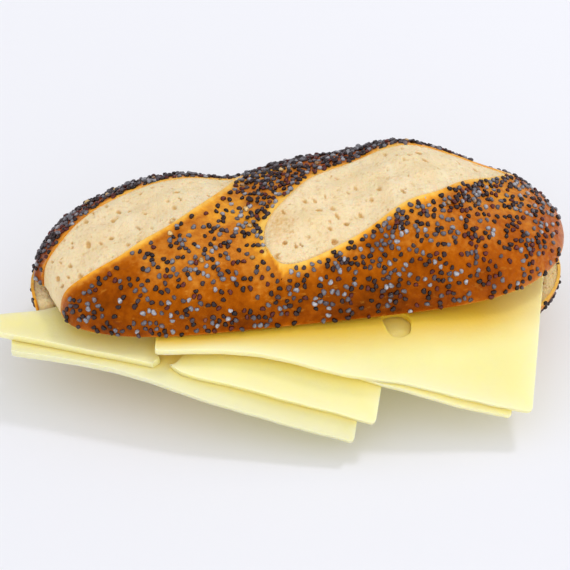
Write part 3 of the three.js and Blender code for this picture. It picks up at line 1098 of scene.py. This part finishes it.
def curve_points(points, closed=False, count=24):
    """The points of a smooth curve through a few given ones."""
    p = np.array(points, dtype=float)
    if closed:
        p = np.vstack([p[-1], p, p[:2]])
    else:
        p = np.vstack([2 * p[0] - p[1], p, 2 * p[-1] - p[-2]])
    t = np.linspace(0, 1, count, endpoint=False)[:, None]
    path = []
    for p0, p1, p2, p3 in zip(p, p[1:], p[2:], p[3:]):
        d0, d1, d2 = (math.sqrt(np.hypot(*(b - a))) for a, b in ((p0, p1), (p1, p2), (p2, p3)))
        m1 = ((p1 - p0) / d0 - (p2 - p0) / (d0 + d1) + (p2 - p1) / d1) * d1
        m2 = ((p2 - p1) / d1 - (p3 - p1) / (d1 + d2) + (p3 - p2) / d2) * d1
        cubic = (2 * p1 - 2 * p2 + m1 + m2) * t**3 + (3 * p2 - 3 * p1 - 2 * m1 - m2) * t**2
        path.append(p1 + m1 * t + cubic)
    return np.vstack(path + [p[-2:-1]])


def along_curve(points):
    """A smooth curve through points, as a function of the share of its length."""
    path = curve_points(points)
    run = np.concatenate([[0], np.cumsum(np.hypot(*np.diff(path, axis=0).T))])

    def at(share):
        return np.stack([np.interp(share * run[-1], run, path[:, k]) for k in (0, 1)], -1)

    return at


def to_outline(x, y, outline):
    """The nearest place on a closed outline for each point, its distance, and inside."""
    a, b = outline, np.roll(outline, -1, axis=0)
    p = np.stack([x, y], -1)[:, None, :]
    edge = b - a
    share = np.clip(((p - a) * edge).sum(-1) / np.maximum((edge**2).sum(-1), 1e-12), 0, 1)
    near = a + share[..., None] * edge
    distance = np.hypot(*np.moveaxis(p - near, -1, 0))
    pick = distance.argmin(1)
    rows = np.arange(len(x))
    level = (a[:, 1] > y[:, None]) != (b[:, 1] > y[:, None])
    rise = np.where(np.abs(edge[:, 1]) < 1e-9, 1e-9, edge[:, 1])
    left = x[:, None] < a[:, 0] + (y[:, None] - a[:, 1]) / rise * edge[:, 0]
    inside = (level & left).sum(1) % 2 == 1
    return near[rows, pick], distance[rows, pick], inside


print("slice 4 lies at", round(float(slice_level(SLICES[3], 0.0, 0.0)), 2), "mm")

# %% Shape the slices
CORNER = 0.9  # the radius of a slice's rounded corners


def round_corners(u, v, along, across):
    """Pull a grid's corners in to a quarter circle."""
    a, b = (1 - np.abs(u)) * along / 2, (1 - np.abs(v)) * across / 2
    da, db = np.maximum(0, CORNER - a), np.maximum(0, CORNER - b)
    far = np.hypot(da, db)
    shrink = np.where((da > 0) & (db > 0), np.maximum(da, db) / np.maximum(far, 1e-9), 1)
    u = np.where(da > 0, np.sign(u) * (1 - (CORNER - da * shrink) * 2 / along), u)
    v = np.where(db > 0, np.sign(v) * (1 - (CORNER - db * shrink) * 2 / across), v)
    return u, v


def make_slice(piece):
    front, back = along_curve(piece["front"]), along_curve(piece["back"])
    outline = curve_points(piece["eye"], closed=True, count=8) if "eye" in piece else None
    layer = piece["layer"]

    def form(u, v):
        u, v = round_corners(u, v, 80, 60)
        first, last = front((u + 1) / 2), back((u + 1) / 2)
        ripple = 0.07 * np.sin(first[:, 0] * 0.3 + layer) + 0.03 * np.sin(first[:, 0] * 0.8)
        first[:, 1] += ripple * smooth(np.abs(u), 1, 0.9)
        x, y = (first + (last - first) * ((v + 1) / 2)[:, None]).T
        if outline is not None:
            near, distance, _ = to_outline(x, y, outline)
            x = np.where(distance < 0.2, near[:, 0], x)
            y = np.where(distance < 0.2, near[:, 1], y)
        sag = 0.12 * np.sin(x * 0.16 + layer) * np.sin(y * 0.13 + 2 * layer)
        return in_frame(x, y, slice_level(piece, x, y) + sag)

    made = bent_grid(piece["node"] + "_sheet", 200, 130, form)
    if outline is not None:
        x, y, _ = off_frame(face_centres(made))
        delete_faces(made, to_outline(x, y, outline)[2])
        x, y, z = off_frame(read_points(made))
        near, distance, _ = to_outline(x, y, outline)
        loose = open_edge(made) & (distance < 0.45)
        x, y = np.where(loose, near[:, 0], x), np.where(loose, near[:, 1], y)
        level = np.where(loose, slice_level(piece, x, y), z)
        write_points(made, in_frame(x, y, level))
    close_seams(made)
    turn_up(made)
    apply_modifier(made, "SOLIDIFY", thickness=SLICE * MM, offset=0)
    corners = {"limit_method": "ANGLE", "angle_limit": math.radians(60)}
    apply_modifier(made, "BEVEL", width=0.45 * MM, segments=3, **corners)
    x, y, _ = off_frame(read_points(made))
    # painted golden shade and bounce light in front of the lid's rim, strongest on the top slice
    reach = 4 + 7 * smooth(x, -25, 12)
    strength = (0.1, 0.1, 0.3, 0.9)[layer] * (1 - 0.75 * smooth(x, 36, 54))
    out_from_lid = -y - lid_half_width(x, True)
    store(made, "painted_lid_shade", strength * smooth(out_from_lid / reach, 1, 0.05))
    # painted shade for the lowest slice
    store(made, "lowest", np.full(len(x), 0.6 if layer == 0 else 0.0))
    ahead, behind = (curve_points(piece[side], count=8) for side in ("front", "back"))
    border = np.vstack([ahead, behind[::-1]])
    store(made, "rim", 0.85 * np.exp(-to_outline(x, y, border)[1] / 2.2))
    complete(made, "cheese", cheese_finish)
    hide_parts(piece["node"])


for piece in SLICES:
    make_slice(piece)

# %% [markdown]
# ## The poppy seeds
#
# A poppy seed is a tiny kidney, a bit over a millimetre long. One is modelled from an
# icosphere: stretched, bent round its notch and pinched there. Hundreds of them lie on
# the crust, so a mesh of loose points says where, one point for each seed, with the way
# it faces, its size and its tone stored on it. Geometry Nodes then sets a copy of the
# seed on every point and makes the copies real, as one mesh.

# %% Model one seed


def make_one_seed():
    bpy.ops.object.select_all(action="DESELECT")
    bpy.ops.mesh.primitive_ico_sphere_add(subdivisions=2, radius=1)
    seed = bpy.context.object
    seed.name = seed.data.name = "one_seed"
    x, y, z = read_points(seed).T
    pinch = 1 - 0.2 * np.exp(-((x / 0.4) ** 2)) * (y < 0.1)
    points = np.stack([0.68 * x, 0.56 * (y * pinch - 0.22 * x**2 + 0.1), 0.52 * z * pinch], -1)
    write_points(seed, points * MM)
    # the height within the seed, which the finish turns into painted light on top and painted
    # shade at the foot
    store(seed, "top", z)
    bpy.ops.object.shade_smooth()
    seed.data.materials.append(seed_finish)
    return seed


one_seed = make_one_seed()
print("one seed is", [round(d / MM, 2) for d in one_seed.dimensions], "mm")

# %% [markdown]
# The places come from a seeded generator, evenly over the surface. A place is kept more
# often where the real roll has more seeds: packed on the strips behind the bursts and
# on top of the neck between them, loosely on the flanks, and in clumps everywhere. None
# may sit in a burst or in another seed.

# %% Choose the places for the lid's seeds
SEED_LIFT = 0.12  # how far a seed's middle is above the crust, in mm


def thin_out(x, y, z, chance, apart, rng):
    """Keep points with their chance, in order, none nearer to another than apart."""
    cells, kept = {}, []
    chosen = np.flatnonzero(rng.random(len(x)) < chance)
    for i in chosen.tolist():
        place = (float(x[i]), float(y[i]), float(z[i]))
        key = tuple(math.floor(value / apart[i]) for value in place)
        around = itertools.product(*((cell - 1, cell, cell + 1) for cell in key))
        near = (other for cell in around for other in cells.get(cell, ()))
        if any(math.dist(place, other) < apart[i] for other in near):
            continue
        cells.setdefault(key, []).append(place)
        kept.append(i)
    return np.array(kept)


def even_places(count, power, depth_at, lid, rng):
    """Random places spread evenly over a half's curved side."""
    s = rng.uniform(-0.99, 0.99, count * 3)
    turn = np.pi * rng.uniform(0.005, 0.995, count * 3)
    x = station_x(s)
    c = np.cos(turn)
    width = (lid_half_width if lid else half_width)(x, c > 0)
    y = -width * np.sign(c) * np.abs(c) ** power
    stretch = 0.6 * np.pi / 2 * np.cos(np.pi / 2 * s) + 0.4
    arc = np.hypot(width * np.sin(turn), depth_at(x) * c)
    kept = np.flatnonzero(rng.random(count * 3) < stretch * arc / 38)[:count]
    return x[kept], y[kept]


def lid_chance(x, y, z):
    """The chance that a place on the lid holds a seed."""
    distance, share = beside_burst(x, y), nearest_burst(x, y)[1]
    loose = 0.355 - 0.1 * smooth(x, 36, 50) * smooth(-z, -9, -3)
    loose += 0.5 * clumps(x, y, z, 0.2, 0) + 0.4 * clumps(x, y, z, 0.45, 7)
    behind = smooth(share, 0.6, 0.9) * smooth(y, -12, -6) * (1 - 0.6 * smooth(x, 24, 34))
    behind *= 1 - 0.5 * smooth(-x, 40, 52)
    neck = bump(x, -7, 12) * smooth(y, 3, 11)
    band = 0.5 * bump(distance, 3, 2.5) * smooth(x, -5, 15) * (share < 0.5)
    chance = np.maximum(loose, 0.05) + 0.8 * np.maximum(behind, neck) + band
    ragged = 0.5 * clumps(x, y, z, 0.6, 3)
    bare = np.where(share < 0.5, 1.5 - 0.9 * smooth(x, -20, 0), 0.5) + ragged
    chance[(distance < np.maximum(bare, 0.4)) | (z < 0.12)] = 0
    chance[(np.abs(x - 48.5) < 4.5) & (y > 8) & (z > 6)] = 0
    return np.clip(chance, 0, 1)


rng = np.random.default_rng(11)
lid_x, lid_y = even_places(12500, LID_POWER, dome_height, True, rng)
lid_z = crust_height(lid_x, lid_y)
packed = lid_chance(lid_x, lid_y, lid_z)
spacing = np.where(packed > 0.8, 0.9, 1.06)
kept = thin_out(lid_x, lid_y, lid_z, packed, spacing, rng)
lid_x, lid_y, lid_z = lid_x[kept], lid_y[kept], lid_z[kept]
print(len(kept), "places on the lid")

# %% Set the seeds on the lid


def seeding_group():
    group = bpy.data.node_groups.new("set seeds", "GeometryNodeTree")
    group.interface.new_socket("Geometry", in_out="INPUT", socket_type="NodeSocketGeometry")
    group.interface.new_socket("Geometry", in_out="OUTPUT", socket_type="NodeSocketGeometry")
    nodes, links = group.nodes, group.links
    source, target = nodes.new("NodeGroupInput"), nodes.new("NodeGroupOutput")
    grain = nodes.new("GeometryNodeObjectInfo")
    grain.inputs["Object"].default_value = one_seed
    grain.inputs["As Instance"].default_value = True
    put = nodes.new("GeometryNodeInstanceOnPoints")
    real = nodes.new("GeometryNodeRealizeInstances")
    for name, socket in (("turn", "Rotation"), ("size", "Scale")):
        value = nodes.new("GeometryNodeInputNamedAttribute")
        value.data_type = "FLOAT_VECTOR"
        value.inputs["Name"].default_value = name
        links.new(value.outputs["Attribute"], put.inputs[socket])
    links.new(source.outputs["Geometry"], put.inputs["Points"])
    links.new(grain.outputs["Geometry"], put.inputs["Instance"])
    links.new(put.outputs["Instances"], real.inputs["Geometry"])
    links.new(real.outputs["Geometry"], target.inputs["Geometry"])
    return group


seed_setter = seeding_group()


def outward(height, x, y):
    slope_x, slope_y = slopes(height, x, y, 0.04)
    normal = np.stack([-slope_x, -slope_y, np.ones_like(x)], -1)
    return normal / np.linalg.norm(normal, axis=1)[:, None]


def set_seeds(name, centres, normals, rng):
    """One mesh of real seeds, from their centres in metres and their normals."""
    count = len(centres)
    room = np.array((0.7, 0.7, 0.9)) * MM
    centres = np.clip(centres, np.array(cad_box[0]) + room, np.array(cad_box[1]) - room)
    points = bpy.data.meshes.new(name)
    points.from_pydata(centres.tolist(), [], [])
    leans = rng.normal(0, 0.17, (count, 3))
    spins = rng.uniform(0, 2 * math.pi, count)
    turns = []
    for normal, lean, spin in zip(normals.tolist(), leans.tolist(), spins.tolist()):
        aim = (Vector(normal) + Vector(lean)).normalized().to_track_quat("Z", "Y")
        turns.extend((aim @ Quaternion((0, 0, 1), spin)).to_euler())
    sizes = rng.uniform(0.84, 1.1, (count, 1)) * rng.uniform(0.93, 1.07, (count, 3))
    for attribute, values in (("turn", turns), ("size", sizes.ravel())):
        stored = points.attributes.new(attribute, "FLOAT_VECTOR", "POINT")
        stored.data.foreach_set("vector", values)
    piece = bpy.data.objects.new(name, points)
    bpy.context.collection.objects.link(piece)
    store(piece, "tone", rng.random(count))
    apply_modifier(piece, "NODES", node_group=seed_setter)
    piece.data.materials.clear()
    piece.data.materials.append(seed_finish)
    bpy.ops.object.shade_smooth()
    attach(piece, "root")
    print(name, "has", count, "seeds and", len(piece.data.polygons), "triangles")


normals = outward(crust_height, lid_x, lid_y)
lift = SEED_LIFT + rng.uniform(-0.1, 0.08, len(kept))
lift += 0.35 * (packed[kept] > 0.8) * (rng.random(len(kept)) < 0.2)
lifted = np.stack([lid_x, lid_y, lid_z], -1) + normals * lift[:, None]
tilted = on_lid(*(lifted + normals).T) - on_lid(*lifted.T)
set_seeds("roll_lid_seeds", on_lid(*lifted.T), tilted / MM, rng)

# %% [markdown]
# The base carries seeds on its upper wall too, thickest just under the cut. They are
# placed in the same way, on the bowl turned upside down.

# %% Set the seeds on the base


def base_surface(x, y):
    rim = np.clip(np.abs(y) / np.maximum(half_width(x, y < 0), 1e-6), 0, 1)
    c = rim ** (1 / BASE_POWER)
    return bowl_depth(x, np.sqrt(1 - c * c))


rng = np.random.default_rng(21)
base_x, base_y = even_places(9200, BASE_POWER, lambda x: bowl_depth(x, 1.0), False, rng)
depth = base_surface(base_x, base_y)
chance = (0.35 + 0.65 * smooth(np.abs(base_x), 50, 58)) * smooth(depth, 8.5, 1.5)
chance *= depth > 0.4 - 0.35 * smooth(np.abs(base_x), 52, 58)
kept = thin_out(base_x, base_y, depth, chance, np.full(len(base_x), 1.0), rng)
base_x, base_y, depth = base_x[kept], base_y[kept], depth[kept]
normals = outward(base_surface, base_x, base_y) * (1, 1, -1)
level = BASE_HEIGHT - depth + torn_tip(base_x, base_y, depth)
seated = np.stack([base_x, base_y, level], -1) + normals * SEED_LIFT
set_seeds("roll_base_seeds", in_frame(*seated.T), normals, rng)
bpy.data.objects.remove(one_seed)
